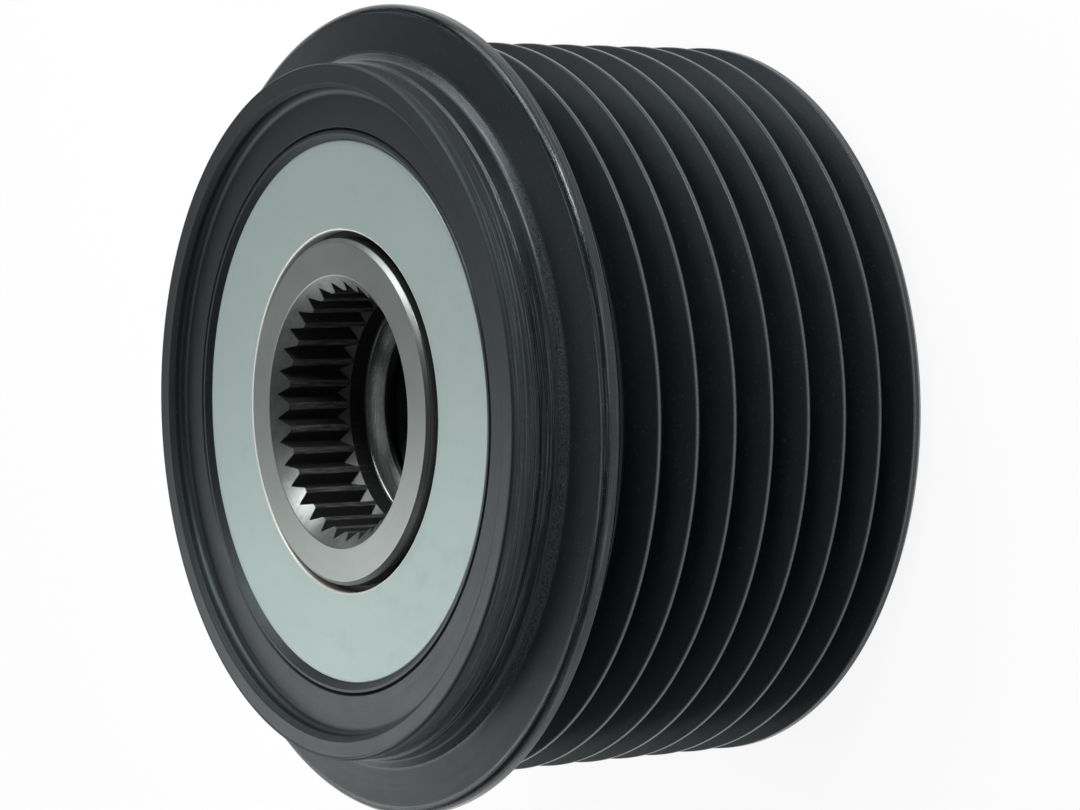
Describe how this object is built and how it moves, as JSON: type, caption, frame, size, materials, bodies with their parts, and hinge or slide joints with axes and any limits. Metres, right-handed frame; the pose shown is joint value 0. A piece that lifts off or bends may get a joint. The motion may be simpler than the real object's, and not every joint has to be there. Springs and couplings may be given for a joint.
{
  "type": "alternator pulley",
  "caption": "One-way alternator pulley: ribbed steel belt ring with a front flange and plated cover disc, turning on a splined and threaded hub through a roller clutch and needle bearings.",
  "frame": {"origin": "centre of the hub's rear face, the plane on which the pulley stands", "axes": "+Z along the pulley's axis, towards the splined front end"},
  "size_m": [0.066, 0.066, 0.039],
  "materials": {
    "black_steel": "satin black coating on turned steel",
    "plated_disc": "matt blue-grey zinc plating",
    "seal_rubber": "matt black",
    "ground_steel": "ground face, dark broached splines",
    "race_steel": "hardened and ground",
    "cage_plastic": "moulded, glass filled",
    "spring_steel": "bright strip"
  },
  "bodies": {
    "hub": {"hub": "ground_steel", "inner_race": "race_steel", "clutch_cage": "cage_plastic", "clutch_spring_1": "spring_steel", "clutch_spring_2": "spring_steel", "clutch_spring_3": "spring_steel", "clutch_spring_4": "spring_steel", "clutch_spring_5": "spring_steel", "clutch_spring_6": "spring_steel", "clutch_spring_7": "spring_steel", "clutch_spring_8": "spring_steel"},
    "pulley": {"pulley_ring": "black_steel", "front_disc": "plated_disc", "rear_disc": "plated_disc", "front_seal": "seal_rubber", "rear_seal": "seal_rubber", "clutch_sleeve": "race_steel"},
    "front_cage": {"front_needle_cage": "cage_plastic"},
    "rear_cage": {"rear_needle_cage": "cage_plastic"},
    "front_needle_1": {"front_needle_1": "race_steel"},
    "front_needle_2": {"front_needle_2": "race_steel"},
    "front_needle_3": {"front_needle_3": "race_steel"},
    "front_needle_4": {"front_needle_4": "race_steel"},
    "front_needle_5": {"front_needle_5": "race_steel"},
    "front_needle_6": {"front_needle_6": "race_steel"},
    "front_needle_7": {"front_needle_7": "race_steel"},
    "front_needle_8": {"front_needle_8": "race_steel"},
    "front_needle_9": {"front_needle_9": "race_steel"},
    "front_needle_10": {"front_needle_10": "race_steel"},
    "front_needle_11": {"front_needle_11": "race_steel"},
    "front_needle_12": {"front_needle_12": "race_steel"},
    "rear_needle_1": {"rear_needle_1": "race_steel"},
    "rear_needle_2": {"rear_needle_2": "race_steel"},
    "rear_needle_3": {"rear_needle_3": "race_steel"},
    "rear_needle_4": {"rear_needle_4": "race_steel"},
    "rear_needle_5": {"rear_needle_5": "race_steel"},
    "rear_needle_6": {"rear_needle_6": "race_steel"},
    "rear_needle_7": {"rear_needle_7": "race_steel"},
    "rear_needle_8": {"rear_needle_8": "race_steel"},
    "rear_needle_9": {"rear_needle_9": "race_steel"},
    "rear_needle_10": {"rear_needle_10": "race_steel"},
    "rear_needle_11": {"rear_needle_11": "race_steel"},
    "rear_needle_12": {"rear_needle_12": "race_steel"},
    "clutch_roller_1": {"clutch_roller_1": "race_steel"},
    "clutch_roller_2": {"clutch_roller_2": "race_steel"},
    "clutch_roller_3": {"clutch_roller_3": "race_steel"},
    "clutch_roller_4": {"clutch_roller_4": "race_steel"},
    "clutch_roller_5": {"clutch_roller_5": "race_steel"},
    "clutch_roller_6": {"clutch_roller_6": "race_steel"},
    "clutch_roller_7": {"clutch_roller_7": "race_steel"},
    "clutch_roller_8": {"clutch_roller_8": "race_steel"}
  },
  "joints": [
    {"name": "pulley_spin", "type": "hinge", "parent": "hub", "child": "pulley", "pos_m": [0, 0, 0.0195], "axis": [0, 0, 1], "continuous": true},
    {"name": "front_cage_spin", "type": "hinge", "parent": "hub", "child": "front_cage", "pos_m": [0, 0, 0.03025], "axis": [0, 0, 1], "continuous": true},
    {"name": "rear_cage_spin", "type": "hinge", "parent": "hub", "child": "rear_cage", "pos_m": [0, 0, 0.00925], "axis": [0, 0, 1], "continuous": true},
    {"name": "front_needle_1_spin", "type": "hinge", "parent": "front_cage", "child": "front_needle_1", "pos_m": [0.0159, 0, 0.03025], "axis": [0, 0, 1], "continuous": true},
    {"name": "front_needle_2_spin", "type": "hinge", "parent": "front_cage", "child": "front_needle_2", "pos_m": [0.01377, 0.00795, 0.03025], "axis": [0, 0, 1], "continuous": true},
    {"name": "front_needle_3_spin", "type": "hinge", "parent": "front_cage", "child": "front_needle_3", "pos_m": [0.00795, 0.01377, 0.03025], "axis": [0, 0, 1], "continuous": true},
    {"name": "front_needle_4_spin", "type": "hinge", "parent": "front_cage", "child": "front_needle_4", "pos_m": [0, 0.0159, 0.03025], "axis": [0, 0, 1], "continuous": true},
    {"name": "front_needle_5_spin", "type": "hinge", "parent": "front_cage", "child": "front_needle_5", "pos_m": [-0.00795, 0.01377, 0.03025], "axis": [0, 0, 1], "continuous": true},
    {"name": "front_needle_6_spin", "type": "hinge", "parent": "front_cage", "child": "front_needle_6", "pos_m": [-0.01377, 0.00795, 0.03025], "axis": [0, 0, 1], "continuous": true},
    {"name": "front_needle_7_spin", "type": "hinge", "parent": "front_cage", "child": "front_needle_7", "pos_m": [-0.0159, 0, 0.03025], "axis": [0, 0, 1], "continuous": true},
    {"name": "front_needle_8_spin", "type": "hinge", "parent": "front_cage", "child": "front_needle_8", "pos_m": [-0.01377, -0.00795, 0.03025], "axis": [0, 0, 1], "continuous": true},
    {"name": "front_needle_9_spin", "type": "hinge", "parent": "front_cage", "child": "front_needle_9", "pos_m": [-0.00795, -0.01377, 0.03025], "axis": [0, 0, 1], "continuous": true},
    {"name": "front_needle_10_spin", "type": "hinge", "parent": "front_cage", "child": "front_needle_10", "pos_m": [0, -0.0159, 0.03025], "axis": [0, 0, 1], "continuous": true},
    {"name": "front_needle_11_spin", "type": "hinge", "parent": "front_cage", "child": "front_needle_11", "pos_m": [0.00795, -0.01377, 0.03025], "axis": [0, 0, 1], "continuous": true},
    {"name": "front_needle_12_spin", "type": "hinge", "parent": "front_cage", "child": "front_needle_12", "pos_m": [0.01377, -0.00795, 0.03025], "axis": [0, 0, 1], "continuous": true},
    {"name": "rear_needle_1_spin", "type": "hinge", "parent": "rear_cage", "child": "rear_needle_1", "pos_m": [0.0159, 0, 0.00925], "axis": [0, 0, 1], "continuous": true},
    {"name": "rear_needle_2_spin", "type": "hinge", "parent": "rear_cage", "child": "rear_needle_2", "pos_m": [0.01377, 0.00795, 0.00925], "axis": [0, 0, 1], "continuous": true},
    {"name": "rear_needle_3_spin", "type": "hinge", "parent": "rear_cage", "child": "rear_needle_3", "pos_m": [0.00795, 0.01377, 0.00925], "axis": [0, 0, 1], "continuous": true},
    {"name": "rear_needle_4_spin", "type": "hinge", "parent": "rear_cage", "child": "rear_needle_4", "pos_m": [0, 0.0159, 0.00925], "axis": [0, 0, 1], "continuous": true},
    {"name": "rear_needle_5_spin", "type": "hinge", "parent": "rear_cage", "child": "rear_needle_5", "pos_m": [-0.00795, 0.01377, 0.00925], "axis": [0, 0, 1], "continuous": true},
    {"name": "rear_needle_6_spin", "type": "hinge", "parent": "rear_cage", "child": "rear_needle_6", "pos_m": [-0.01377, 0.00795, 0.00925], "axis": [0, 0, 1], "continuous": true},
    {"name": "rear_needle_7_spin", "type": "hinge", "parent": "rear_cage", "child": "rear_needle_7", "pos_m": [-0.0159, 0, 0.00925], "axis": [0, 0, 1], "continuous": true},
    {"name": "rear_needle_8_spin", "type": "hinge", "parent": "rear_cage", "child": "rear_needle_8", "pos_m": [-0.01377, -0.00795, 0.00925], "axis": [0, 0, 1], "continuous": true},
    {"name": "rear_needle_9_spin", "type": "hinge", "parent": "rear_cage", "child": "rear_needle_9", "pos_m": [-0.00795, -0.01377, 0.00925], "axis": [0, 0, 1], "continuous": true},
    {"name": "rear_needle_10_spin", "type": "hinge", "parent": "rear_cage", "child": "rear_needle_10", "pos_m": [0, -0.0159, 0.00925], "axis": [0, 0, 1], "continuous": true},
    {"name": "rear_needle_11_spin", "type": "hinge", "parent": "rear_cage", "child": "rear_needle_11", "pos_m": [0.00795, -0.01377, 0.00925], "axis": [0, 0, 1], "continuous": true},
    {"name": "rear_needle_12_spin", "type": "hinge", "parent": "rear_cage", "child": "rear_needle_12", "pos_m": [0.01377, -0.00795, 0.00925], "axis": [0, 0, 1], "continuous": true},
    {"name": "clutch_roller_1_spin", "type": "hinge", "parent": "hub", "child": "clutch_roller_1", "pos_m": [0.01561, -0.00109, 0.01975], "axis": [0, 0, 1], "continuous": true},
    {"name": "clutch_roller_2_spin", "type": "hinge", "parent": "hub", "child": "clutch_roller_2", "pos_m": [0.01181, 0.01027, 0.01975], "axis": [0, 0, 1], "continuous": true},
    {"name": "clutch_roller_3_spin", "type": "hinge", "parent": "hub", "child": "clutch_roller_3", "pos_m": [0.00109, 0.01561, 0.01975], "axis": [0, 0, 1], "continuous": true},
    {"name": "clutch_roller_4_spin", "type": "hinge", "parent": "hub", "child": "clutch_roller_4", "pos_m": [-0.01027, 0.01181, 0.01975], "axis": [0, 0, 1], "continuous": true},
    {"name": "clutch_roller_5_spin", "type": "hinge", "parent": "hub", "child": "clutch_roller_5", "pos_m": [-0.01561, 0.00109, 0.01975], "axis": [0, 0, 1], "continuous": true},
    {"name": "clutch_roller_6_spin", "type": "hinge", "parent": "hub", "child": "clutch_roller_6", "pos_m": [-0.01181, -0.01027, 0.01975], "axis": [0, 0, 1], "continuous": true},
    {"name": "clutch_roller_7_spin", "type": "hinge", "parent": "hub", "child": "clutch_roller_7", "pos_m": [-0.00109, -0.01561, 0.01975], "axis": [0, 0, 1], "continuous": true},
    {"name": "clutch_roller_8_spin", "type": "hinge", "parent": "hub", "child": "clutch_roller_8", "pos_m": [0.01027, -0.01181, 0.01975], "axis": [0, 0, 1], "continuous": true}
  ],
  "couplings": [
    {"joint": "front_cage_spin", "follows": "pulley_spin", "ratio": 0.5566},
    {"joint": "rear_cage_spin", "follows": "pulley_spin", "ratio": 0.5566},
    {"joint": "front_needle_1_spin", "follows": "pulley_spin", "ratio": 4.4846},
    {"joint": "front_needle_2_spin", "follows": "pulley_spin", "ratio": 4.4846},
    {"joint": "front_needle_3_spin", "follows": "pulley_spin", "ratio": 4.4846},
    {"joint": "front_needle_4_spin", "follows": "pulley_spin", "ratio": 4.4846},
    {"joint": "front_needle_5_spin", "follows": "pulley_spin", "ratio": 4.4846},
    {"joint": "front_needle_6_spin", "follows": "pulley_spin", "ratio": 4.4846},
    {"joint": "front_needle_7_spin", "follows": "pulley_spin", "ratio": 4.4846},
    {"joint": "front_needle_8_spin", "follows": "pulley_spin", "ratio": 4.4846},
    {"joint": "front_needle_9_spin", "follows": "pulley_spin", "ratio": 4.4846},
    {"joint": "front_needle_10_spin", "follows": "pulley_spin", "ratio": 4.4846},
    {"joint": "front_needle_11_spin", "follows": "pulley_spin", "ratio": 4.4846},
    {"joint": "front_needle_12_spin", "follows": "pulley_spin", "ratio": 4.4846},
    {"joint": "rear_needle_1_spin", "follows": "pulley_spin", "ratio": 4.4846},
    {"joint": "rear_needle_2_spin", "follows": "pulley_spin", "ratio": 4.4846},
    {"joint": "rear_needle_3_spin", "follows": "pulley_spin", "ratio": 4.4846},
    {"joint": "rear_needle_4_spin", "follows": "pulley_spin", "ratio": 4.4846},
    {"joint": "rear_needle_5_spin", "follows": "pulley_spin", "ratio": 4.4846},
    {"joint": "rear_needle_6_spin", "follows": "pulley_spin", "ratio": 4.4846},
    {"joint": "rear_needle_7_spin", "follows": "pulley_spin", "ratio": 4.4846},
    {"joint": "rear_needle_8_spin", "follows": "pulley_spin", "ratio": 4.4846},
    {"joint": "rear_needle_9_spin", "follows": "pulley_spin", "ratio": 4.4846},
    {"joint": "rear_needle_10_spin", "follows": "pulley_spin", "ratio": 4.4846},
    {"joint": "rear_needle_11_spin", "follows": "pulley_spin", "ratio": 4.4846},
    {"joint": "rear_needle_12_spin", "follows": "pulley_spin", "ratio": 4.4846},
    {"joint": "clutch_roller_1_spin", "follows": "pulley_spin", "ratio": 8.85},
    {"joint": "clutch_roller_2_spin", "follows": "pulley_spin", "ratio": 8.85},
    {"joint": "clutch_roller_3_spin", "follows": "pulley_spin", "ratio": 8.85},
    {"joint": "clutch_roller_4_spin", "follows": "pulley_spin", "ratio": 8.85},
    {"joint": "clutch_roller_5_spin", "follows": "pulley_spin", "ratio": 8.85},
    {"joint": "clutch_roller_6_spin", "follows": "pulley_spin", "ratio": 8.85},
    {"joint": "clutch_roller_7_spin", "follows": "pulley_spin", "ratio": 8.85},
    {"joint": "clutch_roller_8_spin", "follows": "pulley_spin", "ratio": 8.85}
  ]
}
